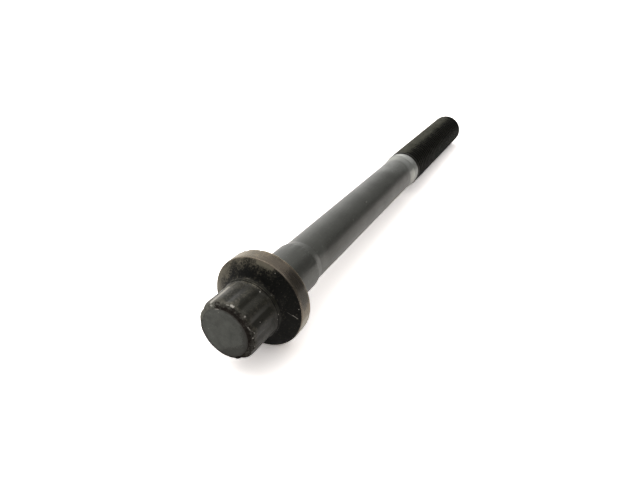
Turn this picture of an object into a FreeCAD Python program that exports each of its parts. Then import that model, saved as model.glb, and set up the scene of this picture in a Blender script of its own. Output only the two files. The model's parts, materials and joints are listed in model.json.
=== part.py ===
import FreeCAD, Part
import math
import os

os.makedirs("parts", exist_ok=True)
V = FreeCAD.Vector

# Cylinder head bolt with a twelve-point head, an integral flange and a reduced shank.
# All sizes are in millimetres and all angles in degrees.

# Thread, rolled on the shank
thread_dia = 12.0
thread_length = 63.0
tip_face_dia = 9.6
tip_chamfer_angle = 45.0

# Shank, from the flange's seat to the tip of the thread
bolt_length = 150.0
shank_dia = 10.9
run_out_length = 5.5
collar_dia = 11.8
collar_length = 12.3
collar_cone_length = 2.3

# Flange, forged on with the head
flange_dia = 20.7
rim_height = 3.5
flange_top_angle = 29.0
rim_top_chamfer = 0.35
rim_seat_chamfer = 0.3
under_head_round = 0.6

# Twelve-point head
head_height = 14.8
across_flats = 11.9
point_count = 12
point_round = 2.05
flute_round = 0.6
flute_end_round = 0.6
end_face_dia = 10.6
end_chamfer_angle = 42.0

# Round foot in which the flutes run out
foot_dia = 13.5
foot_height = 1.15
foot_top_angle = 32.0
foot_edge_round = 0.12
foot_root_round = 0.4

# Where the seams of the turned faces lie, counted from the top: the faceted rim and the
# faceted thread then both lie on a flat and not on a corner
flange_seam = 4.2
shank_seam = 1.0

# How far the foot's top starts under the floor of the flutes, so that the two solids cross
flute_overlap = 0.02


def rad(angle):
    return math.radians(angle)


# Outline of the points: two hexagons, one turned by half a hexagon's step
step = 360.0 / point_count
flat_radius = across_flats / 2
sharp_radius = flat_radius / math.cos(rad(step))
flute_radius = flat_radius / math.cos(rad(step / 2))
flank = flat_radius * (math.tan(rad(step)) - math.tan(rad(step / 2)))

# The two rounds share a flank, so neither takes more than its part of it
point_fillet = min(point_round, 0.75 * flank / math.tan(rad(step)))
flute_fillet = min(flute_round, 0.2 * flank / math.tan(rad(step / 2)))
point_radius = sharp_radius - point_fillet * (1 / math.cos(rad(step)) - 1)
floor_radius = flute_radius + flute_fillet * (1 / math.cos(rad(step / 2)) - 1)

# Radii of the turned stretches, each kept clear of its neighbour
thread_radius = thread_dia / 2
shank_radius = min(shank_dia / 2, thread_radius)
collar_radius = max(collar_dia / 2, shank_radius)
foot_radius = max(foot_dia / 2, point_radius + foot_edge_round)
flange_radius = max(flange_dia / 2, foot_radius + 2 * foot_root_round + 2 * rim_top_chamfer)
end_face_radius = min(end_face_dia / 2, 0.97 * floor_radius)
tip_face_radius = min(tip_face_dia / 2, thread_radius)
seat_fillet = min(under_head_round, 0.4 * (flange_radius - collar_radius))

# Places along the bolt: 0 is the flange's seat, and the head is on the negative side
x_end_face = -head_height
x_foot_root = -rim_height - (flange_radius - foot_radius) * math.tan(rad(flange_top_angle))
x_foot_edge = x_foot_root - foot_height
foot_rise = foot_radius - floor_radius + flute_overlap
x_flute_end = x_foot_edge - foot_rise * math.tan(rad(foot_top_angle))
flute_end_fillet = min(flute_end_round, 0.6 * foot_rise / math.tan(rad(45 - foot_top_angle / 2)))
x_core = x_flute_end - 2 * flute_end_fillet
x_shank = collar_length + collar_cone_length
x_thread = bolt_length - thread_length
x_run_out = x_thread - run_out_length
x_tip_chamfer = bolt_length - (thread_radius - tip_face_radius) * math.tan(rad(tip_chamfer_angle))


def around(x, radius, angle):
    """A point on a circle around the bolt, its angle counted from the top."""
    return V(x, radius * math.sin(rad(angle)), radius * math.cos(rad(angle)))


def rounded(before, corner, after, radius):
    """Start, middle and end of the arc that rounds a corner."""
    back = (before - corner).normalize()
    ahead = (after - corner).normalize()
    half = back.getAngle(ahead) / 2
    inward = (back + ahead).normalize()
    reach = radius / math.tan(half)
    middle = corner + inward * (radius / math.sin(half) - radius)
    return corner + back * reach, middle, corner + ahead * reach


def outline(corners):
    """A closed face through corners, each given with its round, 0 for a sharp one."""
    stretches = []
    for i, (corner, radius) in enumerate(corners):
        before = corners[i - 1][0]
        after = corners[(i + 1) % len(corners)][0]
        stretches.append(rounded(before, corner, after, radius) if radius else (corner,))
    edges = []
    for i, stretch in enumerate(stretches):
        if len(stretch) == 3:
            edges.append(Part.Arc(*stretch).toShape())
        edges.append(Part.makeLine(stretch[-1], stretches[(i + 1) % len(stretches)][0]))
    return Part.Face(Part.Wire(edges))


def turned(corners, seam):
    """A solid turned about the bolt's axis, from places, radii and rounds of half its outline."""
    half = outline([(around(x, radius, seam), fillet) for x, radius, fillet in corners])
    return half.revolve(V(0, 0, 0), V(1, 0, 0), 360)


# Foot and flange in one turned outline that starts inside the head
flange = turned([
    (x_core, 0, 0),
    (x_core, floor_radius - flute_overlap, 0),
    (x_flute_end, floor_radius - flute_overlap, flute_end_fillet),
    (x_foot_edge, foot_radius, foot_edge_round),
    (x_foot_root, foot_radius, foot_root_round),
    (-rim_height - rim_top_chamfer * math.sin(rad(flange_top_angle)),
     flange_radius - rim_top_chamfer * math.cos(rad(flange_top_angle)), 0),
    (-rim_height + rim_top_chamfer, flange_radius, 0),
    (-rim_seat_chamfer, flange_radius, 0),
    (0, flange_radius - rim_seat_chamfer, 0),
    (0, 0, 0),
], flange_seam)

# Collar, shank and thread in one turned outline that starts inside the flange
shank = turned([
    (-rim_height / 2, 0, 0),
    (-rim_height / 2, collar_radius + 2 * seat_fillet, 0),
    (0, collar_radius + 2 * seat_fillet, 0),
    (0, collar_radius, seat_fillet),
    (collar_length, collar_radius, 0),
    (x_shank, shank_radius, 0),
    (x_run_out, shank_radius, 0),
    (x_thread, thread_radius, 0),
    (x_tip_chamfer, thread_radius, 0),
    (bolt_length, tip_face_radius, 0),
    (bolt_length, 0, 0),
], shank_seam)

# The twelve points as a prism that ends inside the foot, with a flute at the top
point_corners = []
for i in range(point_count):
    angle = (i + 0.5) * step
    point_corners.append((around(x_end_face, sharp_radius, angle), point_fillet))
    point_corners.append((around(x_end_face, flute_radius, angle + step / 2), flute_fillet))
points = outline(point_corners).extrude(V((x_foot_edge + x_foot_root) / 2 - x_end_face, 0, 0))

# The turned chamfer cuts deeper into the points than into the flutes, which scallops its edge
chamfer_rise = sharp_radius - end_face_radius
x_chamfer = x_end_face + chamfer_rise * math.tan(rad(end_chamfer_angle))
blank = turned([
    (x_end_face, 0, 0),
    (x_end_face, end_face_radius, 0),
    (x_chamfer, sharp_radius, 0),
    (0, sharp_radius, 0),
    (0, 0, 0),
], 0)
bolt = flange.fuse([shank, points.common(blank)]).removeSplitter()

# At rest the bolt lies on the seat side of the flange's rim and on the tip of the thread
rest_drop = flange_radius - thread_radius
rest_angle = math.degrees(math.atan2(rest_drop, x_tip_chamfer + rim_seat_chamfer))
bolt.rotate(V(0, 0, 0), V(0, 1, 0), rest_angle)

bolt = bolt.Solids[0]
bolt.exportStep("parts/head_bolt.step")
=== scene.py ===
import json
import math

import bpy
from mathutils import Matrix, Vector


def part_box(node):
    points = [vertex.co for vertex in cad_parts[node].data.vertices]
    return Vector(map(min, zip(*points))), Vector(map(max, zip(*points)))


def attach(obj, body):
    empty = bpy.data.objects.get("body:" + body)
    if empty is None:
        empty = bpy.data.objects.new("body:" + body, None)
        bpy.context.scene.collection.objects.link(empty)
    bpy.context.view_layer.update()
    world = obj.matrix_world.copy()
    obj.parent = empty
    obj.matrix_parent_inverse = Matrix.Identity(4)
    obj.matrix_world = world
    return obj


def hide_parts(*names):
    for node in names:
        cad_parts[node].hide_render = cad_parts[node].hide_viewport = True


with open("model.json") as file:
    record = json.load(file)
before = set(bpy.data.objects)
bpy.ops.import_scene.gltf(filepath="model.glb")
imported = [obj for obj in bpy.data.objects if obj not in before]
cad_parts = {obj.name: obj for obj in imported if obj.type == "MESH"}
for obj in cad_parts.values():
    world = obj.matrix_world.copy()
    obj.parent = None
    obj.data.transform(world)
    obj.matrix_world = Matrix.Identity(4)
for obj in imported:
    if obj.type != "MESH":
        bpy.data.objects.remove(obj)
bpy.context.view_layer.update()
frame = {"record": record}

# The bolt is drawn in millimetres, straight along X, with the flange's seat at 0 and the head
# on the negative side. Its tree lays it down at rest and turns the millimetres into metres.
MILLIMETRE = 0.001
MOUNTS = {mount["name"]: mount for mount in frame["record"]["mounts"]}
BOLT_AXIS = Vector(MOUNTS["thread"]["axis"])
REST_ANGLE = math.atan2(-BOLT_AXIS.z, BOLT_AXIS.x)
FLOOR_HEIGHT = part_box("head_bolt")[0].z

# Thread. The round at its root is a part of the pitch. The tip's dish deepens between two parts of
# the way from the tip's rim to its middle. The grooves begin to form a stretch before the thread.
THREAD_RADIUS = MOUNTS["thread"]["dims"]["r_mm"]
PITCH = 1.75
ROOT_ROUND = 0.144
BOLT_LENGTH = 150.0
THREAD_LENGTH = 63.0
TIP_FACE_RADIUS = 4.8
TIP_DISH = 0.25
TIP_DISH_REACH = (0.15, 0.75)
RUN_OUT_LENGTH = 5.5
GROOVE_FADE = 4.0

# Shank and collar
SHANK_RADIUS = 5.45
COLLAR_RADIUS = MOUNTS["guide_collar"]["dims"]["r_mm"]
COLLAR_LENGTH = 12.3
COLLAR_CONE_LENGTH = 2.3
COLLAR_EDGE_ROUND = 0.4
CONE_END_ROUND = 0.8
UNDER_HEAD_ROUND = 0.6

# Flange
FLANGE_RADIUS = 10.35
RIM_HEIGHT = 3.5
FLANGE_TOP_ANGLE = math.radians(29)
RIM_ROUND = 0.3

# Twelve-point head and its round foot. The end face is a pad that stands a little proud of the
# chamfer, whose outer edge is worn to a soft round.
HEAD_HEIGHT = 14.8
FLAT_RADIUS = 5.95
POINTS = 12
HALF_STEP = math.pi / POINTS
POINT_ROUND = 2.05
END_FACE_RADIUS = 5.22
END_CHAMFER_ANGLE = math.radians(31)
FOOT_RADIUS = 6.75
FOOT_HEIGHT = 1.15
FOOT_TOP_ANGLE = math.radians(32)
SOFT_EDGE = 1.4
PAD_HEIGHT = 0.05
PAD_ROUND = 0.03
FOOT_EDGE_ROUND = 0.14
RUN_OUT_ROUND = 0.6
FOOT_ROOT_ROUND = 0.4

# Wear of ridges and crests, from 0 to 1. A ridge's breadth is the part of the way from a point to
# a flute that is worn. Dents grow between two levels of a noise.
RIDGE_WEAR = 0.7
RIDGE_BREADTH = 0.75
CREST_WEAR = 0.4
CREST_WEAR_DEPTH = 0.12
DENT_SCALE = 0.9
DENT_DEPTH = 0.12
DENT_LEVELS = (0.56, 0.70)

# How finely the surface is divided
COLUMNS = 168
TIP_RINGS = 8
BODY_ARC_STEP = math.radians(13)
ROOT_ARC_STEP = math.radians(30)
MERGE_DISTANCE = 0.0005
SHARP_EDGE_ANGLE = math.radians(40)

# Where one finish ends and the next begins: how far the chamfer's faces turn towards the head's
# end, how far behind the end face and inside the rim their own finishes reach, and how close a
# face's number has to be to that of its zone
CHAMFER_FACING = -0.45
END_FACE_MARGIN = 0.02
RIM_MARGIN = 0.2
ZONE_TOLERANCE = 0.1

# Radii and places along the bolt that the outline and the tree share
SHARP_RADIUS = FLAT_RADIUS / math.cos(2 * HALF_STEP)
POINT_RADIUS = SHARP_RADIUS - POINT_ROUND * (1 / math.cos(2 * HALF_STEP) - 1)
END_FACE = -HEAD_HEIGHT
CHAMFER = END_FACE + (POINT_RADIUS - END_FACE_RADIUS) * math.tan(END_CHAMFER_ANGLE)
FOOT_ROOT = -RIM_HEIGHT - (FLANGE_RADIUS - FOOT_RADIUS) * math.tan(FLANGE_TOP_ANGLE)
FOOT_EDGE = FOOT_ROOT - FOOT_HEIGHT
FLUTE_END = FOOT_EDGE - (FOOT_RADIUS - POINT_RADIUS) * math.tan(FOOT_TOP_ANGLE)
THREAD_START = BOLT_LENGTH - THREAD_LENGTH
RUN_OUT_START = THREAD_START - RUN_OUT_LENGTH

# The bolt's zones, each with a finish of its own; the first is where no other holds
ZONES = [
    "Shank Finish", "Head Finish", "Chamfer Finish", "End Face Finish",
    "Flange Finish", "Rim Finish", "Thread Finish",
]

# The tree's inputs for sizes
BOLT_SIZES = {
    "Flat Radius": FLAT_RADIUS,
    "Point Round": POINT_ROUND,
    "Blank Radius": POINT_RADIUS,
    "End Face Place": END_FACE,
    "Chamfer Place": CHAMFER,
    "Flute End Place": FLUTE_END,
    "Foot Place": FOOT_EDGE,
    "Chamfer Angle": END_CHAMFER_ANGLE,
    "Foot Angle": FOOT_TOP_ANGLE,
    "Ridge Wear": RIDGE_WEAR,
    "Foot Radius": FOOT_RADIUS,
    "Flange Radius": FLANGE_RADIUS,
    "Dent Scale": DENT_SCALE,
    "Dent Depth": DENT_DEPTH,
    "Pitch": PITCH,
    "Run-out Start": RUN_OUT_START,
    "Thread Start": THREAD_START,
    "Bolt End": BOLT_LENGTH,
    "Shank Radius": SHANK_RADIUS,
    "Thread Radius": THREAD_RADIUS,
    "Groove Fade": GROOVE_FADE,
    "Tip Face Radius": TIP_FACE_RADIUS,
    "Tip Dish": TIP_DISH,
    "Crest Wear": CREST_WEAR,
}


class Value:
    """What a node gives. Numbers that change over the surface are reckoned with as formulas."""

    def __init__(self, maker, socket):
        self.maker = maker
        self.socket = socket

    def __add__(self, other):
        return self.maker.math("ADD", self, other)

    def __radd__(self, other):
        return self.maker.math("ADD", other, self)

    def __sub__(self, other):
        return self.maker.math("SUBTRACT", self, other)

    def __rsub__(self, other):
        return self.maker.math("SUBTRACT", other, self)

    def __mul__(self, other):
        return self.maker.math("MULTIPLY", self, other)

    def __truediv__(self, other):
        return self.maker.math("DIVIDE", self, other)

    def __rtruediv__(self, other):
        return self.maker.math("DIVIDE", other, self)


class Maker:
    """Makes the nodes of one tree and links them as they are made.

    The names of sockets, operations and kinds of node are Blender's own.
    """

    def __init__(self, tree):
        self.tree = tree

    def feed(self, socket, value):
        """Links a changing value to the socket, or sets a plain one on it."""
        if isinstance(value, Value):
            self.tree.links.new(value.socket, socket)
        elif value is not None:
            socket.default_value = value

    def node(self, kind, inputs=None, **settings):
        """A new node with its settings, and its inputs fed by name or by place."""
        made = self.tree.nodes.new(kind)
        for name, setting in settings.items():
            setattr(made, name, setting)
        for key, value in (inputs or {}).items():
            self.feed(made.inputs[key], value)
        return made

    def out(self, node, key=0):
        return Value(self, node.outputs[key])

    def math(self, operation, *values, clamp=False):
        sockets = dict(enumerate(values))
        return self.out(self.node("ShaderNodeMath", sockets, operation=operation, use_clamp=clamp))

    def vector_math(self, operation, *values, key="Vector"):
        sockets = dict(enumerate(values))
        return self.out(self.node("ShaderNodeVectorMath", sockets, operation=operation), key)

    def coordinate(self, place, axis):
        return self.out(self.node("ShaderNodeSeparateXYZ", {0: place}), axis)

    def combined(self, x=0.0, y=0.0, z=0.0):
        return self.out(self.node("ShaderNodeCombineXYZ", {"X": x, "Y": y, "Z": z}))

    def ramp(self, value, low, high, start=0.0, end=1.0, smooth=False):
        """Goes from start to end while the value goes from low to high, and stays there."""
        kind = "SMOOTHSTEP" if smooth else "LINEAR"
        sockets = {
            "Value": value, "From Min": low, "From Max": high, "To Min": start, "To Max": end}
        return self.out(self.node("ShaderNodeMapRange", sockets, interpolation_type=kind))

    def group_input(self, name):
        inputs = self.tree.nodes.get("Group Input") or self.tree.nodes.new("NodeGroupInput")
        return self.out(inputs, name)

    def group_output(self, **values):
        outputs = self.tree.nodes.new("NodeGroupOutput")
        for name, value in values.items():
            self.feed(outputs.inputs[name], value)


# Kinds of socket
GEOMETRY = "NodeSocketGeometry"
NUMBER = "NodeSocketFloat"
WHOLE = "NodeSocketInt"
VECTOR = "NodeSocketVector"
MATERIAL = "NodeSocketMaterial"
OBJECT = "NodeSocketObject"


def new_group(name, kind, inputs, outputs):
    """The maker of a new node group, whose inputs have a name, a type and a usual value each."""
    tree = bpy.data.node_groups.new(name, kind)
    for socket_name, socket_type, usual in inputs:
        socket = tree.interface.new_socket(socket_name, in_out="INPUT", socket_type=socket_type)
        if usual is not None:
            socket.default_value = usual
    for socket_name, socket_type in outputs:
        tree.interface.new_socket(socket_name, in_out="OUTPUT", socket_type=socket_type)
    return Maker(tree)


# Half outlines, drawn as rows of points


def arc(before, corner, after, radius, step):
    """The points of the round on a corner, from one tangent point to the other."""
    back = (before - corner).normalized()
    ahead = (after - corner).normalized()
    half = back.angle(ahead) / 2
    centre = corner + (back + ahead).normalized() * radius / math.sin(half)
    start = corner + back * radius / math.tan(half) - centre
    end = corner + ahead * radius / math.tan(half) - centre
    spread = math.pi - 2 * half
    steps = max(2, math.ceil(spread / step))
    points = []
    for i in range(steps + 1):
        part = spread * i / steps
        swept = start * math.sin(spread - part) + end * math.sin(part)
        points.append(centre + swept / math.sin(spread))
    return points


def outline_mesh(name, corners, arc_step):
    """A half outline as a row of points: corners with their rounds, and stretches in even steps.

    Each corner is (place along the bolt, radius, round, wear, longest step on the way there).
    The wear goes to the points of the round as the attribute worn_edge, which is 0 elsewhere.
    """
    places = [Vector((x, radius)) for x, radius, _, _, _ in corners]
    points = []
    wear = []
    for i, (_, _, fillet, worn, longest) in enumerate(corners):
        rounding = [places[i]]
        if fillet:
            rounding = arc(places[i - 1], places[i], places[i + 1], fillet, arc_step)
        if points:
            gap = rounding[0] - points[-1]
            steps = math.ceil(gap.length / longest)
            start = points[-1]
            for j in range(1, steps):
                points.append(start + gap * j / steps)
                wear.append(0.0)
        points.extend(rounding)
        wear.extend([worn] * len(rounding))
    mesh = bpy.data.meshes.new(name)
    edges = [(i, i + 1) for i in range(len(points) - 1)]
    mesh.from_pydata([(p.x, 0, p.y) for p in points], edges, [])
    mesh.attributes.new("worn_edge", "FLOAT", "POINT").data.foreach_set("value", wear)
    return mesh


# The bolt's shape, as flat sheets that are bent around its axis


def sheet(maker, rows, columns):
    """A flat sheet with a row for each station along the bolt and a column for each step around.

    Comes with two values that hold until the sheet is bent: the row, and the part of a turn.
    """
    sizes = {"Size X": rows - 1, "Size Y": 1.0, "Vertices X": rows, "Vertices Y": columns + 1}
    grid = maker.out(maker.node("GeometryNodeMeshGrid", sizes), "Mesh")
    place = maker.out(maker.node("GeometryNodeInputPosition"))
    row = maker.math("ROUND", maker.coordinate(place, "X") + (rows - 1) * 0.5)
    turn = maker.coordinate(place, "Y") + 0.5
    return grid, row, turn


def around(maker, x, radius, turn):
    """A place on a circle around the bolt, its turn counted from the top."""
    angle = turn * (2 * math.pi)
    y = radius * maker.math("SINE", angle)
    z = radius * maker.math("COSINE", angle)
    return maker.combined(x, y, z)


def stored(maker, mesh, name, value, domain):
    """The mesh with a number kept under a name on its points or its faces."""
    kept = maker.node(
        "GeometryNodeStoreNamedAttribute", {"Geometry": mesh, "Name": name, "Value": value},
        data_type="FLOAT", domain=domain)
    return maker.out(kept)


def kept_number(maker, name):
    """The number that a mesh keeps under a name."""
    held = maker.node("GeometryNodeInputNamedAttribute", {"Name": name}, data_type="FLOAT")
    return maker.out(held)


def bent(maker, flat_sheet, x, radius, turn, worn):
    """The sheet bent around the bolt, which keeps how worn each vertex is."""
    marked = stored(maker, flat_sheet, "worn_edge", worn, "POINT")
    place = around(maker, x, radius, turn)
    return maker.out(maker.node("GeometryNodeSetPosition", {"Geometry": marked, "Position": place}))


def sampled(maker, outline, row, held, kind):
    """What the outline's point at that row holds."""
    sockets = {"Geometry": outline, "Value": held, "Index": row}
    return maker.out(maker.node("GeometryNodeSampleIndex", sockets, data_type=kind, domain="POINT"))


def sampled_place(maker, outline, row):
    """How far along and how far out the outline's point at that row lies."""
    position = maker.out(maker.node("GeometryNodeInputPosition"))
    found = sampled(maker, outline, row, position, "FLOAT_VECTOR")
    return maker.coordinate(found, "X"), maker.coordinate(found, "Z")


def count(maker, outline):
    """How many points the outline has."""
    size = maker.node("GeometryNodeAttributeDomainSize", {"Geometry": outline}, component="MESH")
    return maker.out(size, "Point Count")


def point_reach(maker, turn):
    """How far the twelve-point outline stands from the axis, and how near a place is to a point."""
    flat = maker.group_input("Flat Radius")
    fillet = maker.group_input("Point Round")
    from_flute = maker.math("PINGPONG", turn * (2 * math.pi), HALF_STEP)
    from_point = HALF_STEP - from_flute
    flank = flat / maker.math("COSINE", 2 * HALF_STEP - from_point)
    centre = (flat - fillet) / math.cos(2 * HALF_STEP)
    aside = centre * maker.math("SINE", from_point)
    beyond = maker.math("SQRT", maker.math("MAXIMUM", fillet * fillet - aside * aside, 0.0))
    rounded = centre * maker.math("COSINE", from_point) + beyond
    touch_height = fillet * math.sin(2 * HALF_STEP)
    touch = maker.math("ARCTAN2", touch_height, centre + fillet * math.cos(2 * HALF_STEP))
    on_round = maker.math("LESS_THAN", from_point, touch)
    reach = flank + on_round * (rounded - flank)
    ridge = maker.ramp(from_point, 0.0, RIDGE_BREADTH * HALF_STEP, 1.0, 0.0, smooth=True)
    return reach, ridge


def dented(maker, x, radius, turn, worn):
    """The radius with small dents, which are knocked only into worn edges."""
    pattern = maker.node("ShaderNodeTexNoise", {
        "Vector": around(maker, x, radius, turn),
        "Scale": maker.group_input("Dent Scale"),
        "Detail": 1.0,
    })
    struck = maker.ramp(maker.out(pattern), *DENT_LEVELS, smooth=True)
    return radius - maker.group_input("Dent Depth") * struck * worn


def turned_body(maker, columns):
    """Head, flange and shank: the outline turned round, with the blank of the head drawn in
    between the points.

    A flute draws the surface in along the end chamfer and along the top of the foot, so both
    keep their slope and their edges become scalloped.
    """
    outline = maker.group_input("Outline")
    flat_sheet, row, turn = sheet(maker, count(maker, outline), columns)
    x, radius = sampled_place(maker, outline, row)
    edge = sampled(maker, outline, row, kept_number(maker, "worn_edge"), "FLOAT")
    end_face = maker.group_input("End Face Place")
    chamfer = maker.group_input("Chamfer Place")
    run_out = maker.group_input("Flute End Place")
    foot = maker.group_input("Foot Place")
    share = maker.ramp(x, end_face, chamfer) * maker.ramp(x, run_out, foot, 1.0, 0.0)
    slope = maker.ramp(
        x, chamfer, run_out,
        maker.math("TANGENT", maker.group_input("Chamfer Angle")),
        maker.math("TANGENT", maker.group_input("Foot Angle")))
    reach, ridge = point_reach(maker, turn)
    drawn = (maker.group_input("Blank Radius") - reach) * share
    ridge_wear = ridge * share * maker.group_input("Ridge Wear")
    worn = maker.math("MAXIMUM", edge, ridge_wear)
    final_x = x - drawn * slope
    final_radius = dented(maker, final_x, radius - drawn, turn, worn)
    return bent(maker, flat_sheet, final_x, final_radius, turn, worn)


def rolled_thread(maker, columns):
    """Run-out and thread: one pitch of the thread's outline, repeated along a right-hand helix.

    The helix starts a turn before the run-out and ends a turn after the tip, and is held at
    both ends, so the strip closes into rings there.
    """
    profile = maker.out(maker.node(
        "GeometryNodeObjectInfo", {"Object": maker.group_input("Thread Outline")},
        transform_space="ORIGINAL"), "Geometry")
    steps = count(maker, profile) - 1.0
    pitch = maker.group_input("Pitch")
    start = maker.group_input("Run-out Start")
    full = maker.group_input("Thread Start")
    end = maker.group_input("Bolt End")
    turns = maker.math("CEIL", (end - start) / pitch) + 1.0
    flat_sheet, row, turn = sheet(maker, turns * steps + 2.0, columns)
    along, depth = sampled_place(maker, profile, maker.math("MODULO", row, steps))
    turn_number = maker.math("FLOOR", row / steps)
    free_x = start + pitch * (turn_number + along - turn)
    x = maker.math("MAXIMUM", maker.math("MINIMUM", free_x, end), start)
    shank_radius = maker.group_input("Shank Radius")
    blank = maker.ramp(x, start, full, shank_radius, maker.group_input("Thread Radius"))
    fade_start = full - maker.group_input("Groove Fade")
    fade = maker.ramp(x, fade_start, full + pitch, smooth=True)
    groove = depth * pitch * fade
    chamfer = maker.group_input("Tip Face Radius") + (end - x)
    radius = maker.math("MINIMUM", blank - groove, chamfer)
    crest = fade * maker.ramp(groove, 0.0, CREST_WEAR_DEPTH, 1.0, 0.0)
    return bent(maker, flat_sheet, x, radius, turn, crest * maker.group_input("Crest Wear"))


def tip_face(maker, columns):
    """The face at the thread's tip, slightly dished."""
    flat_sheet, row, turn = sheet(maker, TIP_RINGS + 1, columns)
    part = row / TIP_RINGS
    dish = maker.group_input("Tip Dish") * maker.ramp(part, *TIP_DISH_REACH, smooth=True)
    x = maker.group_input("Bolt End") - dish
    radius = maker.group_input("Tip Face Radius") * (1.0 - part)
    return bent(maker, flat_sheet, x, radius, turn, 0.0)


# The zones of finish and the whole bolt


def zoned(maker, mesh, zone):
    """The mesh with the number of its finish on every face."""
    return stored(maker, mesh, "finish_zone", zone, "FACE")


def last_true(*rules):
    """The number of the last finish whose rule holds, or of the first zone where none does."""
    zone = 0.0
    for finish, holds in rules:
        zone = zone + holds * (ZONES.index(finish) - zone)
    return zone


def finished(maker, mesh):
    """The mesh with the material of its zone on every face."""
    zone = kept_number(maker, "finish_zone")
    for number, finish in enumerate(ZONES):
        mesh = maker.out(maker.node("GeometryNodeSetMaterial", {
            "Geometry": mesh,
            "Selection": maker.math("COMPARE", zone, float(number), ZONE_TOLERANCE),
            "Material": maker.group_input(finish),
        }))
    return mesh


def from_axis(maker, place):
    """How far a place lies from the bolt's axis."""
    across = maker.vector_math("MULTIPLY", place, (0, 1, 1))
    return maker.vector_math("LENGTH", across, key="Value")


def body_zone(maker, x, radius):
    """The finish of a face of the head, the flange or the shank."""
    normal = maker.out(maker.node("GeometryNodeInputNormal"))
    facing = maker.math("LESS_THAN", maker.coordinate(normal, "X"), CHAMFER_FACING)
    on_chamfer = maker.math("LESS_THAN", x, maker.group_input("Chamfer Place")) * facing
    end_face = maker.group_input("End Face Place") + END_FACE_MARGIN
    rim = maker.group_input("Flange Radius") - RIM_MARGIN
    return last_true(
        ("Head Finish", maker.math("LESS_THAN", x, 0.0)),
        ("Chamfer Finish", on_chamfer),
        ("End Face Finish", maker.math("LESS_THAN", x, end_face)),
        ("Flange Finish", maker.math("GREATER_THAN", radius, maker.group_input("Foot Radius"))),
        ("Rim Finish", maker.math("GREATER_THAN", radius, rim)))


def thread_zone(maker, x):
    """The finish of a face of the run-out or the thread, whose own begins after one full pitch."""
    start = maker.group_input("Thread Start") + maker.group_input("Pitch")
    return last_true(("Thread Finish", maker.math("GREATER_THAN", x, start)))


def laid_down(maker, mesh):
    """The mesh turned to how the bolt lies, and brought from millimetres to metres."""
    unit = maker.group_input("Unit")
    laid = maker.node("GeometryNodeTransform", {
        "Geometry": mesh,
        "Rotation": maker.combined(y=maker.group_input("Rest Angle")),
        "Scale": maker.combined(unit, unit, unit),
    })
    return maker.out(laid)


def bolt_tree():
    """The whole bolt as one tree, with a named input for each size and finish."""
    shapes = [
        ("Outline", GEOMETRY, None),
        ("Thread Outline", OBJECT, None),
        ("Columns", WHOLE, COLUMNS),
        ("Merge Distance", NUMBER, MERGE_DISTANCE),
        ("Rest Angle", NUMBER, 0.0),
        ("Unit", NUMBER, MILLIMETRE),
    ]
    materials = [(name, MATERIAL, None) for name in ZONES]
    sizes = [(name, NUMBER, usual) for name, usual in BOLT_SIZES.items()]
    inputs = shapes + materials + sizes
    maker = new_group("Head bolt", "GeometryNodeTree", inputs, [("Bolt", GEOMETRY)])
    maker.tree.is_modifier = True
    columns = maker.group_input("Columns")
    position = maker.out(maker.node("GeometryNodeInputPosition"))
    x = maker.coordinate(position, "X")
    radius = from_axis(maker, position)
    body = zoned(maker, turned_body(maker, columns), body_zone(maker, x, radius))
    thread = zoned(maker, rolled_thread(maker, columns), thread_zone(maker, x))
    tip = zoned(maker, tip_face(maker, columns), float(ZONES.index("Thread Finish")))
    joined = maker.node("GeometryNodeJoinGeometry")
    for part in (body, thread, tip):
        maker.tree.links.new(part.socket, joined.inputs[0])
    closed = maker.node("GeometryNodeMergeByDistance", {
        "Geometry": maker.out(joined), "Distance": maker.group_input("Merge Distance")})
    smooth = maker.node("GeometryNodeSetShadeSmooth", {"Geometry": maker.out(closed)})
    laid = laid_down(maker, maker.out(smooth))
    real = maker.node("GeometryNodeRealizeInstances", {"Geometry": laid})
    maker.group_output(Bolt=finished(maker, maker.out(real)))
    return maker.tree


def drop_empty_slots(mesh):
    """Takes out the empty material slot that the tree's sheets start with."""
    for i in reversed(range(len(mesh.materials))):
        if mesh.materials[i] is None:
            mesh.materials.pop(index=i)


def plain_mesh(name, mesh, tree, values):
    """What the tree makes of the mesh, as a plain mesh on an object of its own."""
    carrier = bpy.data.objects.new(name + "_outline", mesh)
    bpy.context.scene.collection.objects.link(carrier)
    modifier = carrier.modifiers.new("Build", "NODES")
    modifier.node_group = tree
    for socket in tree.interface.items_tree:
        if socket.item_type == "SOCKET" and socket.name in values:
            modifier[socket.identifier] = values[socket.name]
    depsgraph = bpy.context.evaluated_depsgraph_get()
    built = bpy.data.meshes.new_from_object(carrier.evaluated_get(depsgraph), depsgraph=depsgraph)
    bpy.data.objects.remove(carrier)
    built.name = name
    drop_empty_slots(built)
    piece = bpy.data.objects.new(name, built)
    bpy.context.scene.collection.objects.link(piece)
    return piece


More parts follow.
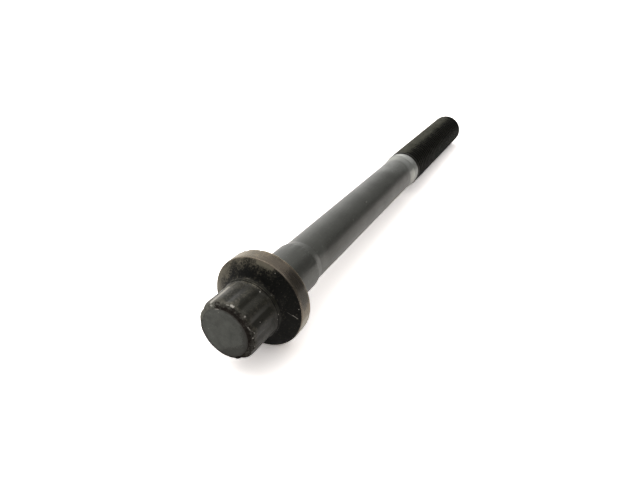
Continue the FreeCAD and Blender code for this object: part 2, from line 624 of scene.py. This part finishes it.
def bolt_outline():
    """Half the outline of head, flange and shank, from the middle of the end face."""
    return outline_mesh("half_outline", [
        # Place along the bolt, radius, round, wear, and longest step on the way there; the wear at
        # the foot's root and the rim's seat edge is partly a painted highlight
        (END_FACE, 0, 0, 0, 0),
        (END_FACE, END_FACE_RADIUS, PAD_ROUND, 0.6, 0.45),
        (END_FACE + PAD_HEIGHT, END_FACE_RADIUS + PAD_HEIGHT, PAD_ROUND, 0.1, 0.2),
        (CHAMFER, POINT_RADIUS, SOFT_EDGE, 1, 0.25),
        (FLUTE_END, POINT_RADIUS, RUN_OUT_ROUND, 0, 0.4),
        (FOOT_EDGE, FOOT_RADIUS, FOOT_EDGE_ROUND, 0.6, 0.25),
        # The foot's root: wear, and partly a painted highlight round it
        (FOOT_ROOT, FOOT_RADIUS, FOOT_ROOT_ROUND, 0.8, 0.3),
        (-RIM_HEIGHT, FLANGE_RADIUS, RIM_ROUND, 0.2, 0.5),
        # The rim's seat edge: wear, and partly a painted highlight along it
        (0, FLANGE_RADIUS, RIM_ROUND, 1, 0.5),
        (0, COLLAR_RADIUS, UNDER_HEAD_ROUND, 0, 0.6),
        (COLLAR_LENGTH, COLLAR_RADIUS, COLLAR_EDGE_ROUND, 0.6, 2.5),
        (COLLAR_LENGTH + COLLAR_CONE_LENGTH, SHANK_RADIUS, CONE_END_ROUND, 0, 0.7),
        (RUN_OUT_START, SHANK_RADIUS, 0, 0, 6.0),
    ], arc_step=BODY_ARC_STEP)


def thread_outline():
    """One pitch, with its depth upwards and every length as a part of the pitch.

    The flat of the crest is an eighth of the pitch, and the flanks stand at 30 degrees.
    """
    crest = 1 / 16
    sharp_root = (0.5 - crest) / math.tan(math.radians(30))
    corners = [
        # Place along the pitch, depth, round, wear, and longest step on the way there
        (-crest, 0, 0, 0, 0),
        (crest, 0, 0, 0, 1),
        (0.5, sharp_root, ROOT_ROUND, 0, 0.4),
        (1 - crest, 0, 0, 0, 0.4),
    ]
    return outline_mesh("thread_outline", corners, arc_step=ROOT_ARC_STEP)


# What the finishes share: bare steel, the pale band, smudging and painted shade, the tint of an
# oily coat's shine, the coat beyond the band, and the coat's fine relief
BARE_STEEL = (0.42, 0.40, 0.36, 1)
BARE_METALLIC = 0.9
BARE_ROUGHNESS = 0.35
BARE_DEPTH = 0.5
PALE_METALLIC = 0.7
SMUDGE_AND_SHADE_COLOUR = (0.008, 0.007, 0.005, 1)
SMUDGE_AND_SHADE_METALLIC = 0.2
OILY_TINT = (1.0, 0.98, 0.9, 1)
THREAD_COAT = (0.003, 0.003, 0.002, 1)
RELIEF_STRENGTH = 0.6
RELIEF_HEIGHT = 0.02 * MILLIMETRE

# The side that is rubbed the most and faces the light, whose coat is made paler partly by wear
# and partly as painted light: a direction around the bolt, and how far out on it this is full
WORN_AND_LIT_SIDE = (0.0, 0.75, 0.66)
WORN_AND_LIT_SIDE_REACH = 6.5

# Breaks in worn edges, bare specks, and the lines of nicks, rubs, smudging and painted light and
# shade. A core is the part of a speck's or a line's width that is fully bare or full, and notches
# make a line's edge ragged.
BREAK_SIZE = 0.6
SPECK_SPACING = 1.3
SPECK_SIZE = 0.14
LEAST_SPECK = 0.4
SPECK_CORE = 0.5
MARK_CORE = 0.4
MARK_NOTCH = 0.25
SHORTEST_MARK_SQUARED = 0.0001
LEAST_CHIPPED = 0.5

# Fine speckle of a rubbed coat in broad clouds, and how much of it shows on dark and light coat
SPECKLE_SIZE = 0.35
SPECKLE_CLOUD_SIZE = 2.2
SPECKLE_CLOUDS = 0.38
SPECKLE_GAIN = 0.35
LEAST_THINNED = 0.45
THINNED_BY_SHADE = 0.6

# Painted shade on a border, and the soft edge where the pale band ends
BORDER_SHADE_SIZE = 0.7
BORDER_SHADE_RAGGEDNESS = 1.2
BORDER_SHADE_AT_EDGE = 1.3
BORDER_SHADE_OFF_ON_LIT_SIDE = 0.8
BORDER_SHADE_THRESHOLD = 0.9
BAND_EDGE = 0.15

# Levels of a noise between which each pattern goes from none to full
PATCH_LEVELS = (0.3, 0.7)
GRAIN_LEVELS = (0.25, 0.75)
THIN_LEVELS = (0.55, 1.15)
BARE_LEVELS = (1.1, 1.25)
SPECKLE_LEVELS = (0.6, 0.92)
CHIP_LEVELS = (0.15, 0.55)

# Places of the colour mixing node's inputs and output, several of which share a name
MIX_SHARE = 0
MIX_FIRST = 6
MIX_SECOND = 7
MIX_RESULT = 2


def laid_in_millimetres(maker):
    """Object coordinates in millimetres, straight along the bolt."""
    place = maker.out(maker.node("ShaderNodeTexCoord"), "Object")
    scale = 1 / MILLIMETRE
    mapping = maker.node("ShaderNodeMapping", {
        "Vector": place, "Rotation": (0, -REST_ANGLE, 0), "Scale": (scale, scale, scale)})
    return maker.out(mapping)


def noise(maker, place, size, detail, roughness=0.5):
    """Soft noise whose blotches are about that size."""
    return maker.out(maker.node("ShaderNodeTexNoise", {
        "Vector": place, "Scale": 1.0 / size, "Detail": detail, "Roughness": roughness}))


def mixed(maker, share, first, second):
    """A colour between two, by a share from 0 to 1."""
    sockets = {MIX_SHARE: share, MIX_FIRST: first, MIX_SECOND: second}
    return maker.out(maker.node("ShaderNodeMix", sockets, data_type="RGBA"), MIX_RESULT)


def between(share, first, second):
    """A number between two, by a share from 0 to 1."""
    return first + share * (second - first)


def mottled_coat_group():
    """Cloudy patches and fine crystals of a phosphate coat."""
    maker = new_group(
        "Mottled coat", "ShaderNodeTree",
        [("Place", VECTOR, None), ("Patch Size", NUMBER, 4.0), ("Grain Size", NUMBER, 0.2),
         ("Grain Spread", VECTOR, (1, 1, 1))],
        [("Patches", NUMBER), ("Grain", NUMBER)])
    place = maker.group_input("Place")
    patches = noise(maker, place, maker.group_input("Patch Size"), detail=4.0, roughness=0.6)
    drawn_out = maker.vector_math("DIVIDE", place, maker.group_input("Grain Spread"))
    grain = noise(maker, drawn_out, maker.group_input("Grain Size"), detail=3.0, roughness=0.65)
    maker.group_output(
        Patches=maker.ramp(patches, *PATCH_LEVELS),
        Grain=maker.ramp(grain, *GRAIN_LEVELS))
    return maker.tree


def edge_wear_group():
    """Where handling has rubbed the coat thin, and in broken spots through to the steel."""
    maker = new_group(
        "Edge wear", "ShaderNodeTree",
        [("Place", VECTOR, None), ("Edge", NUMBER, 0.0), ("Amount", NUMBER, 0.5),
         ("Break Size", NUMBER, 1.0)],
        [("Thin", NUMBER), ("Bare", NUMBER)])
    break_size = maker.group_input("Break Size")
    broken = noise(maker, maker.group_input("Place"), break_size, detail=3.0, roughness=0.7)
    level = maker.group_input("Edge") * maker.group_input("Amount") + broken
    maker.group_output(
        Thin=maker.ramp(level, *THIN_LEVELS, smooth=True),
        Bare=maker.ramp(level, *BARE_LEVELS, smooth=True))
    return maker.tree


def specks_group():
    """Small struck or rubbed spots, a few of all the cells of a fine pattern."""
    maker = new_group(
        "Specks", "ShaderNodeTree",
        [("Place", VECTOR, None), ("Spacing", NUMBER, 1.5), ("Size", NUMBER, 0.12),
         ("Share", NUMBER, 0.2)],
        [("Spots", NUMBER)])
    spacing = maker.group_input("Spacing")
    cells = maker.node(
        "ShaderNodeTexVoronoi", {"Vector": maker.group_input("Place"), "Scale": 1.0 / spacing})
    away = maker.out(cells, "Distance") * spacing
    colour = maker.node("ShaderNodeSeparateColor", {0: maker.out(cells, "Color")})
    chosen = maker.math("LESS_THAN", maker.out(colour, 0), maker.group_input("Share"))
    size = maker.group_input("Size") * (LEAST_SPECK + maker.out(colour, 1))
    spots = maker.ramp(away, size * SPECK_CORE, size, 1.0, 0.0, smooth=True)
    maker.group_output(Spots=chosen * spots)
    return maker.tree


def ragged_line_group():
    """All within its width of a ragged line: nicks, rubs, smudging, and painted light and shade."""
    maker = new_group(
        "Ragged line", "ShaderNodeTree",
        [("Place", VECTOR, None), ("Start", VECTOR, None), ("End", VECTOR, None),
         ("Width", NUMBER, 0.1)],
        [("Mark", NUMBER)])
    place = maker.group_input("Place")
    start = maker.group_input("Start")
    width = maker.group_input("Width")
    along = maker.vector_math("SUBTRACT", maker.group_input("End"), start)
    reach = maker.vector_math("SUBTRACT", place, start)
    squared = maker.vector_math("DOT_PRODUCT", along, along, key="Value")
    run = maker.vector_math("DOT_PRODUCT", reach, along, key="Value")
    divisor = maker.math("MAXIMUM", squared, SHORTEST_MARK_SQUARED)
    part = maker.math("DIVIDE", run, divisor, clamp=True)
    nearest = maker.vector_math("MULTIPLY_ADD", along, maker.combined(part, part, part), start)
    away = maker.vector_math("DISTANCE", place, nearest, key="Value")
    ragged = away + (noise(maker, place, MARK_NOTCH, detail=1.0) - 0.5) * width
    mark = maker.ramp(ragged, width * MARK_CORE, width, 1.0, 0.0, smooth=True)
    maker.group_output(Mark=mark)
    return maker.tree


def placed_group(maker, tree, **values):
    """A shared group in this material, with values of its own, underscores standing for spaces."""
    sockets = {name.replace("_", " "): value for name, value in values.items()}
    return maker.node("ShaderNodeGroup", sockets, node_tree=tree)


def worn_and_lit_side(maker, place):
    """How far a place lies on the rubbed and lit side, made paler by wear and by painted light."""
    toward = maker.vector_math("DOT_PRODUCT", place, WORN_AND_LIT_SIDE, key="Value")
    return maker.ramp(toward, 0.0, WORN_AND_LIT_SIDE_REACH, smooth=True)


def outward(maker, place, inner, outer):
    """Goes from 0 at an inner to 1 at an outer radius."""
    return maker.ramp(from_axis(maker, place), inner, outer)


def speckled(maker, place, share):
    """Fine specks where the coat is thin, closer together where the share is higher."""
    fine = noise(maker, place, SPECKLE_SIZE, detail=4.0, roughness=0.75)
    broad = noise(maker, place, SPECKLE_CLOUD_SIZE, detail=2.0)
    clouded = fine + (broad - 0.5) * SPECKLE_CLOUDS
    level = maker.math("MULTIPLY_ADD", share, SPECKLE_GAIN, clouded)
    return maker.ramp(level, *SPECKLE_LEVELS)


def strokes(maker, groups, place, lines):
    """Each line as a mark of its width, with the depth that the line gives."""
    for start, end, width, depth in lines:
        mark = placed_group(maker, groups["mark"], Place=place, Start=start, End=end, Width=width)
        yield maker.out(mark, "Mark"), depth


def bare_steel(maker, groups, place, worn, grain, specks, marks_and_highlights):
    """Where steel shows: worn edges, specks, and nicks and painted glints that the grain breaks up.
    """
    spots = placed_group(
        maker, groups["specks"], Place=place, Spacing=SPECK_SPACING, Size=SPECK_SIZE, Share=specks)
    bared = maker.math("MAXIMUM", maker.out(worn, "Bare"), maker.out(spots, "Spots"))
    chipped = maker.ramp(grain, *CHIP_LEVELS, LEAST_CHIPPED, 1.0)
    for mark, depth in strokes(maker, groups, place, marks_and_highlights):
        bared = maker.math("MAXIMUM", bared, mark * depth * chipped)
    return bared


def rubbed_and_sheened_coat(maker, groups, place, side, speckle, rubs_and_sheens):
    """How thin rubbing and painted highlights leave the coat, in fine specks if speckled, else
    evenly.
    """
    rubbed = 0.0
    # On the worn and lit side, partly wear and partly painted light
    if speckle:
        share, inner, outer = speckle
        rubbed = side * share * outward(maker, place, inner, outer)
    for rub, depth in strokes(maker, groups, place, rubs_and_sheens):
        rubbed = maker.math("MULTIPLY_ADD", rub, depth, rubbed)
    return speckled(maker, place, rubbed) if speckle else rubbed


def pale_band(maker, place, patches, pale):
    """How pale the coat has turned on the way to its end, and what lies beyond that end."""
    start, full, end = pale
    along = maker.coordinate(place, "X")
    beyond = maker.ramp(along, end - BAND_EDGE, end)
    paled = maker.ramp(along + patches, start, full, smooth=True) * (1.0 - beyond)
    return paled, beyond


def shaded_border(maker, place, side, border_shade):
    """How much painted shade lies towards the border, with a ragged edge, less on the worn and lit
    side.
    """
    border = outward(maker, place, *border_shade)
    ragged = noise(maker, place, BORDER_SHADE_SIZE, detail=2.0)
    level = border * BORDER_SHADE_AT_EDGE - side * BORDER_SHADE_OFF_ON_LIT_SIDE - BORDER_SHADE_THRESHOLD
    return maker.ramp(maker.math("MULTIPLY_ADD", ragged, BORDER_SHADE_RAGGEDNESS, level), 0.0, 1.0)


def steel(name, groups, dark, light, thin, roughness, wear, specks,
          metallic=0.0, gloss=0.3, side_wear_and_light=0.0, speckle=None, pale=None, border_shade=None,
          patch_size=4.0, grain_size=0.18, grain_spread=(1, 1, 1), grain_share=0.35,
          rubs_and_sheens=(), marks_and_highlights=(), smudges_and_shade=()):
    """Coated steel: a mottled dark coat, rubbed thin and bare at edges and where it was struck.

    dark, light and thin are the colours of the coat's dark and light patches and of coat that is
    rubbed thin, which also shows as painted highlights; roughness holds that of the dark and of
    the light patches.
    wear is how worn the edges are, side_wear_and_light how much more so on the worn and lit side,
    where this is partly painted light, and specks the share of small spots that are bare.
    speckle is how rubbed the worn and lit side is, partly as painted light, and the radii between
    which that sets in, and breaks all rubbing into fine specks. border_shade is the radii between
    which painted shade sets in, and pale is where the coat turns pale, is palest and ends.
    The sizes of patches and grain are in millimetres. grain_spread draws the grain out along each
    axis, and grain_share is its part in the mottling.
    rubs_and_sheens, marks_and_highlights and smudges_and_shade are lines, each with its start,
    end, width and depth; some are painted highlights, a painted reflection and painted shade.
    """
    material = bpy.data.materials.new(name)
    material.use_nodes = True
    maker = Maker(material.node_tree)
    shader = material.node_tree.nodes["Principled BSDF"]
    place = laid_in_millimetres(maker)
    # The worn and lit side, where wear and painted light make the coat paler
    side = worn_and_lit_side(maker, place)
    coat = placed_group(
        maker, groups["coat"], Place=place, Patch_Size=patch_size, Grain_Size=grain_size,
        Grain_Spread=grain_spread)
    grain = maker.out(coat, "Grain")
    patches = maker.out(coat, "Patches")
    shade = maker.math("MULTIPLY_ADD", grain, grain_share, patches * (1 - grain_share))
    edge = maker.out(maker.node("ShaderNodeAttribute", attribute_name="worn_edge"), "Fac")
    worn = placed_group(
        maker, groups["wear"], Place=place, Edge=edge * (1.0 + side * side_wear_and_light), Amount=wear,
        Break_Size=BREAK_SIZE)
    bared = bare_steel(maker, groups, place, worn, grain, specks, marks_and_highlights)
    # Rubbing, and painted highlights, thin the coat
    rubbed = rubbed_and_sheened_coat(maker, groups, place, side, speckle, rubs_and_sheens)
    thinned = maker.math("MAXIMUM", maker.out(worn, "Thin"), rubbed)
    thinned = thinned * maker.math("MULTIPLY_ADD", shade, THINNED_BY_SHADE, LEAST_THINNED)
    coat_metallic = metallic
    if pale:
        paled, beyond = pale_band(maker, place, patches, pale)
        thinned = maker.math("MAXIMUM", thinned, paled)
        coat_metallic = between(paled, metallic, PALE_METALLIC)
    coat_colour = mixed(maker, thinned, mixed(maker, shade, dark, light), thin)
    if pale:
        coat_colour = mixed(maker, beyond, coat_colour, THREAD_COAT)
    # Painted shade along a border
    if border_shade:
        coat_colour = mixed(maker, shaded_border(maker, place, side, border_shade), coat_colour, SMUDGE_AND_SHADE_COLOUR)
    # Smudging, and painted shade where a line stands for it
    for dark_stroke, depth in strokes(maker, groups, place, smudges_and_shade):
        share = dark_stroke * depth
        coat_colour = mixed(maker, share, coat_colour, SMUDGE_AND_SHADE_COLOUR)
        coat_metallic = between(share, coat_metallic, SMUDGE_AND_SHADE_METALLIC)
    coat_roughness = between(shade, *roughness)
    maker.feed(shader.inputs["Base Color"], mixed(maker, bared, coat_colour, BARE_STEEL))
    maker.feed(shader.inputs["Roughness"], between(bared, coat_roughness, BARE_ROUGHNESS))
    maker.feed(shader.inputs["Metallic"], between(bared, coat_metallic, BARE_METALLIC))
    shader.inputs["Specular IOR Level"].default_value = gloss
    shader.inputs["Specular Tint"].default_value = OILY_TINT
    relief = maker.node("ShaderNodeBump", {
        "Strength": RELIEF_STRENGTH, "Distance": RELIEF_HEIGHT,
        "Height": grain - bared * BARE_DEPTH})
    maker.feed(shader.inputs["Normal"], maker.out(relief))
    return material


# Floor and light, in metres and watts. The light overhead and the light at the side each grow
# between two levels of height, or of nearness to that side.
BLACK = (0, 0, 0, 1)
WHITE = (1, 1, 1, 1)
FLOOR_REACH = 3.0
FLOOR_COLOUR = (0.85, 0.83, 0.82, 1)
FLOOR_LIFT = (1.0, 0.95, 0.92, 1)
FLOOR_GLOW = 0.2
FLOOR_IN_REFLECTIONS = 0.35
LIGHT_SIDE = Vector((0.35, 0.93, 0.05)).normalized()
ROOM_DARK = 0.12
ROOM_TOP = 1.0
ROOM_SIDE = 1.2
OVERHEAD_EDGE = (0.35, 0.9)
LIGHT_SIDE_EDGE = (0.2, 0.8)
LAMP_PLACE = (-0.1, 0.4, 1.0)
LAMP_TARGET = (0.05, 0, 0)
LAMP_SIZE = 0.8
LAMP_POWER = 3
LAMP_COLOUR = (1.0, 0.98, 0.95)


def floor_material():
    """Paler where the camera or a reflection sees it, with the soft warm shadow kept."""
    material = bpy.data.materials.new("pale_floor")
    material.use_nodes = True
    nodes = material.node_tree.nodes
    maker = Maker(material.node_tree)
    nodes.remove(nodes["Principled BSDF"])
    paths = maker.node("ShaderNodeLightPath")
    mirrored = maker.out(paths, "Is Glossy Ray")
    reflected = maker.math("MAXIMUM", mirrored, maker.out(paths, "Is Transmission Ray"))
    camera_ray = maker.out(paths, "Is Camera Ray")
    seen = maker.math("MAXIMUM", camera_ray, reflected * FLOOR_IN_REFLECTIONS)
    lit = maker.node("ShaderNodeBsdfDiffuse", {"Color": FLOOR_COLOUR})
    lift_colour = mixed(maker, seen, BLACK, FLOOR_LIFT)
    lift = maker.node("ShaderNodeBsdfDiffuse", {"Color": lift_colour})
    glow = maker.node("ShaderNodeEmission", {"Color": FLOOR_LIFT, "Strength": seen * FLOOR_GLOW})
    paler = maker.node("ShaderNodeAddShader", {0: maker.out(lit), 1: maker.out(lift)})
    both = maker.node("ShaderNodeAddShader", {0: maker.out(paler), 1: maker.out(glow)})
    maker.tree.links.new(both.outputs[0], nodes["Material Output"].inputs["Surface"])
    return material


def floor():
    """One wide square under the bolt."""
    mesh = bpy.data.meshes.new("floor")
    reach = FLOOR_REACH
    corners = [(-reach, -reach), (reach, -reach), (reach, reach), (-reach, reach)]
    mesh.from_pydata([(x, y, FLOOR_HEIGHT) for x, y in corners], [], [(0, 1, 2, 3)])
    mesh.materials.append(floor_material())
    piece = bpy.data.objects.new("floor", mesh)
    bpy.context.scene.collection.objects.link(piece)
    return piece


def soft_lamp(name, place, target, size, power, colour):
    """A square lamp that faces its target."""
    lamp = bpy.data.lights.new(name, "AREA")
    lamp.shape = "SQUARE"
    lamp.size = size
    lamp.energy = power
    lamp.color = colour
    holder = bpy.data.objects.new(name, lamp)
    holder.location = place
    direction = Vector(target) - Vector(place)
    holder.rotation_euler = direction.to_track_quat("-Z", "Y").to_euler()
    bpy.context.scene.collection.objects.link(holder)


def surroundings():
    """A plain studio: white to the camera, and to all other rays light overhead and to one side."""
    world = bpy.data.worlds.new("surroundings")
    world.use_nodes = True
    bpy.context.scene.world = world
    maker = Maker(world.node_tree)
    background = world.node_tree.nodes["Background"]
    direction = maker.out(maker.node("ShaderNodeTexCoord"), "Generated")
    toward = maker.vector_math("DOT_PRODUCT", direction, LIGHT_SIDE, key="Value")
    overhead = maker.ramp(maker.coordinate(direction, "Z"), *OVERHEAD_EDGE, smooth=True)
    beside = maker.ramp(toward, *LIGHT_SIDE_EDGE, smooth=True)
    level = maker.math("MAXIMUM", overhead * ROOM_TOP, beside * ROOM_SIDE) + ROOM_DARK
    camera_ray = maker.out(maker.node("ShaderNodeLightPath"), "Is Camera Ray")
    maker.feed(background.inputs["Strength"], between(camera_ray, level, 1.0))
    maker.feed(background.inputs["Color"], WHITE)


# Camera in metres, its lens and sensor in millimetres; its heading is counted from +X towards +Y
# and its pitch downwards
CAMERA_PLACE = (-0.07100, -0.04849, 0.06040)
CAMERA_HEADING = math.radians(26.94)
CAMERA_PITCH = math.radians(29.12)
CAMERA_LENS = 27.89
CAMERA_SENSOR = 36.0
CAMERA_NEAREST = 0.005


def photo_camera():
    """The camera where the photograph was taken from."""
    camera = bpy.data.cameras.new("camera")
    camera.sensor_width = CAMERA_SENSOR
    camera.lens = CAMERA_LENS
    camera.clip_start = CAMERA_NEAREST
    holder = bpy.data.objects.new("camera", camera)
    holder.location = CAMERA_PLACE
    holder.rotation_euler = (math.pi / 2 - CAMERA_PITCH, 0, CAMERA_HEADING - math.pi / 2)
    bpy.context.scene.collection.objects.link(holder)
    bpy.context.scene.camera = holder


groups = {
    "coat": mottled_coat_group(),
    "wear": edge_wear_group(),
    "specks": specks_group(),
    "mark": ragged_line_group(),
}

# The finishes. Each line of a list is the start, end and width in millimetres of a nick, a rub, a
# smudged patch, a painted highlight, a painted reflection or painted shade, and its depth: how far
# it bares, thins or darkens the coat.
finishes = {}

# End face: grey and rubbed, paler on the worn and lit side partly as painted light, and with
# painted shade along its border
END_FACE_MARKS = [
    ((-14.78, 2.0, 4.93), (END_FACE, 0.95, 5.1), 0.16, 0.8),
    ((END_FACE, 0.92, 4.43), (END_FACE, 0.92, 4.43), 0.12, 0.5),
    ((END_FACE, 3.67, -0.22), (END_FACE, 3.67, -0.22), 0.1, 0.5),
]
END_FACE_SMUDGES = [
    ((END_FACE, 0.6, 2.6), (END_FACE, 1.6, 1.4), 0.8, 0.3),
    ((END_FACE, -4.5, -2.4), (END_FACE, 0.3, -5.0), 1.5, 0.7),
    ((END_FACE, -1.6, 3.6), (END_FACE, -3.2, 2.6), 0.9, 0.25),
    ((END_FACE, -4.9, 1.9), (END_FACE, -5.1, -1.8), 1.6, 0.75),
]
finishes["End Face Finish"] = steel(
    "rubbed_end_face", groups,
    dark=(0.022, 0.024, 0.0205, 1), light=(0.081, 0.086, 0.0745, 1), thin=(0.125, 0.13, 0.115, 1),
    roughness=(0.5, 0.42), wear=0.15, specks=0.1, gloss=0.25, patch_size=2.0,
    speckle=(0.55, 0.0, 1.0), border_shade=(4.45, 5.05),
    marks_and_highlights=END_FACE_MARKS, smudges_and_shade=END_FACE_SMUDGES)

# Head: black coat with thin places, nicks that the chamfer shares, and painted highlights along
# its lit flanks and along the foot's top edge
HEAD_MARKS_AND_HIGHLIGHT = [
    ((-14.33, 2.97, 4.99), (-14.45, 2.6, 5.1), 0.22, 0.7),
    ((-14.2, 1.9, 5.5), (-14.2, 1.4, 5.6), 0.2, 0.5),
    ((-13.93, -1.8, 5.97), (-13.9, -1.4, 6.1), 0.34, 0.75),
    ((-14.06, -0.5, 6.1), (-13.98, -1.0, 6.05), 0.16, 0.4),
    ((-13.88, -4.27, 4.62), (-13.88, -4.27, 4.62), 0.24, 0.75),
    ((-14.31, -5.1, 2.83), (-14.23, -5.44, 2.33), 0.13, 0.6),
    ((-14.23, -5.44, 2.33), (-13.85, -6.11, 1.64), 0.12, 0.6),
    ((-14.21, -5.91, 0.61), (-14.21, -5.91, 0.61), 0.22, 0.6),
    ((-14.0, -6.05, -1.26), (-14.0, -6.0, -1.45), 0.14, 0.5),
    ((-6.98, -3.03, 5.55), (-6.98, -3.03, 5.55), 0.2, 0.7),
    ((-5.9, -4.87, 4.67), (-5.9, -4.87, 4.67), 0.18, 0.6),
    ((-6.67, -6.72, 0.1), (-6.67, -6.72, 0.1), 0.18, 0.7),
    # A painted highlight: the bright streak along a lit flank of the head
    ((-13.8, 3.3, 5.22), (-8.2, 3.5, 5.2), 0.42, 0.85),
]
# Painted highlights along the head's lit flanks, and along the top of the foot's edge
HEAD_PAINTED_HIGHLIGHTS = [
    ((-13.7, 4.5, 4.4), (-8.0, 4.5, 4.4), 1.2, 0.6),
    ((-13.6, 2.9, 5.5), (-7.5, 3.2, 5.4), 0.9, 0.8),
    ((-6.6, 1.2, 6.6), (-6.6, -1.4, 6.6), 0.45, 0.55),
    ((-6.6, -1.4, 6.6), (-6.6, -3.6, 5.7), 0.45, 0.75),
]
finishes["Head Finish"] = steel(
    "forged_head_coat", groups,
    dark=(0.0062, 0.006, 0.0045, 1), light=(0.0175, 0.0168, 0.0115, 1), thin=(0.13, 0.118, 0.09, 1),
    roughness=(0.46, 0.34), wear=0.22, specks=0.08, gloss=0.3, side_wear_and_light=1.2,
    speckle=(0.4, 5.9, 6.3), rubs_and_sheens=HEAD_PAINTED_HIGHLIGHTS, marks_and_highlights=HEAD_MARKS_AND_HIGHLIGHT)

# Chamfer: brown-black and rubbed grey on the worn and lit side, partly as painted light
CHAMFER_RUBS = [
    ((-14.4, 5.79, 0.6), (-14.4, 5.5, 1.8), 0.9, 0.8),
    ((-14.4, 5.5, 1.8), (-14.4, 4.45, 3.75), 1.1, 1.0),
    ((-14.4, 4.45, 3.75), (-14.4, 2.7, 5.1), 1.1, 1.0),
    ((-14.2, -5.6, -1.2), (-14.2, -4.4, -3.8), 0.9, 0.6),
]
finishes["Chamfer Finish"] = steel(
    "chamfer_coat", groups,
    dark=(0.006, 0.005, 0.0042, 1), light=(0.032, 0.0265, 0.0225, 1), thin=(0.165, 0.162, 0.14, 1),
    roughness=(0.6, 0.5), wear=0.18, specks=0.25, gloss=0.0, side_wear_and_light=0.8, patch_size=0.8,
    speckle=(0.3, 0.0, 1.0), rubs_and_sheens=CHAMFER_RUBS, marks_and_highlights=HEAD_MARKS_AND_HIGHLIGHT)

# Flange: black, speckled towards its edge, on the lit side partly as painted light, with a rub at
# the top and a painted highlight on the lit side of the cone
FLANGE_MARKS = [
    ((-4.45, -8.7, 0.3), (-3.93, -9.56, -0.57), 0.09, 0.55),
    ((-4.9, -7.8, 0.95), (-4.4, -8.72, 0.17), 0.08, 0.2),
]
# A rub at the top, then a painted highlight on the cone's lit side
FLANGE_RUB_AND_SHEEN = [
    ((-3.7, -1.0, 10.1), (-3.7, -3.6, 9.5), 1.0, 1.05),
    ((-4.2, 8.8, 1.6), (-4.4, 7.4, 5.0), 2.8, 0.6),
]
finishes["Flange Finish"] = steel(
    "flange_coat", groups,
    dark=(0.003, 0.0031, 0.0028, 1), light=(0.008, 0.0082, 0.0074, 1),
    thin=(0.185, 0.166, 0.125, 1),
    roughness=(0.55, 0.42), wear=0.1, specks=0.08, gloss=0.07, side_wear_and_light=1.0,
    speckle=(0.9, 7.3, 10.2), rubs_and_sheens=FLANGE_RUB_AND_SHEEN, marks_and_highlights=FLANGE_MARKS)

# Rim: turned and bronze-grey, with fine rings round it, a painted reflection low on the side away
# from the light, and painted shade above it on that side
# A painted reflection: a bright stretch low on the side away from the light
RIM_PAINTED_REFLECTION = [
    ((-1.8, -9.95, -2.9), (-1.8, -6.4, -8.1), 2.4, 0.6),
]
# Painted shade on the side away from the light
RIM_PAINTED_SHADE = [
    ((-1.6, -7.6, 7.0), (-1.6, -9.75, 3.4), 2.6, 0.75),
    ((-2.4, -9.7, 3.6), (-2.4, -10.2, 1.6), 1.2, 0.4),
]
finishes["Rim Finish"] = steel(
    "turned_rim", groups,
    dark=(0.08, 0.068, 0.054, 1), light=(0.21, 0.178, 0.142, 1), thin=(0.34, 0.27, 0.18, 1),
    roughness=(0.32, 0.2), wear=0.5, specks=0.1, metallic=0.85, side_wear_and_light=0.3,
    speckle=(0.3, 0.0, 1.0), grain_size=0.45, grain_spread=(1, 12, 12), grain_share=0.6,
    marks_and_highlights=RIM_PAINTED_REFLECTION, smudges_and_shade=RIM_PAINTED_SHADE)

# Shank: grey, drawn lengthwise, pale before the thread and then with the thread's coat; a painted
# sheen lies on its lit top before the thread, and painted shade along its side away from the light
PALE_BAND = (THREAD_START - 7.5, THREAD_START - 3.5, THREAD_START + 0.1)
SHANK_MARKS = [
    ((45.94, -3.4, 4.26), (45.94, -3.4, 4.26), 0.25, 1.0),
]
# A painted sheen on the shank's lit top, before the thread
SHANK_PAINTED_SHEEN = [
    ((74.0, 2.2, 5.0), (83.0, -0.6, 5.4), 7.0, 0.36),
]
# The first darkens the collar's coat; the second is painted shade along the side away from the
# light
SHANK_SMUDGE_AND_SHADE = [
    ((1.0, -4.7, 3.5), (11.0, -4.7, 3.5), 2.4, 0.4),
    ((20.0, -5.1, 1.9), (76.0, -5.1, 1.9), 2.8, 0.45),
]
finishes["Shank Finish"] = steel(
    "drawn_shank_coat", groups,
    dark=(0.05, 0.051, 0.0455, 1), light=(0.08, 0.082, 0.073, 1), thin=(0.33, 0.336, 0.32, 1),
    roughness=(0.4, 0.3), wear=0.1, specks=0.02, metallic=0.1, gloss=0.45,
    pale=PALE_BAND, patch_size=6.0, grain_size=0.4, grain_spread=(5, 1, 1),
    rubs_and_sheens=SHANK_PAINTED_SHEEN, marks_and_highlights=SHANK_MARKS, smudges_and_shade=SHANK_SMUDGE_AND_SHADE)

# Thread: nearly black, with a painted sheen along its lit top
THREAD_PAINTED_SHEEN = [
    ((88.5, 2.4, 5.5), (145.0, 2.4, 5.5), 4.8, 0.75),
]
finishes["Thread Finish"] = steel(
    "rolled_thread_coat", groups,
    dark=(0.0015, 0.0015, 0.001, 1), light=(0.004, 0.004, 0.0026, 1), thin=(0.125, 0.123, 0.095, 1),
    roughness=(0.5, 0.4), wear=0.1, specks=0.01, gloss=0.12,
    speckle=(0.6, 0.0, 1.0), rubs_and_sheens=THREAD_PAINTED_SHEEN)

# The bolt
thread_carrier = bpy.data.objects.new("thread_outline", thread_outline())
bpy.context.scene.collection.objects.link(thread_carrier)
bolt = plain_mesh("cylinder_head_bolt", bolt_outline(), bolt_tree(), BOLT_SIZES | {
    "Thread Outline": thread_carrier,
    "Columns": COLUMNS,
    "Merge Distance": MERGE_DISTANCE,
    "Rest Angle": REST_ANGLE,
    "Unit": MILLIMETRE,
} | finishes)
bpy.data.objects.remove(thread_carrier)
bolt.data.set_sharp_from_angle(angle=SHARP_EDGE_ANGLE)
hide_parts("head_bolt")
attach(bolt, "root")

# Floor, light and camera
ground = floor()
soft_lamp("key_light", LAMP_PLACE, LAMP_TARGET, LAMP_SIZE, LAMP_POWER, LAMP_COLOUR)
surroundings()
photo_camera()
bpy.context.scene.view_settings.view_transform = "Standard"
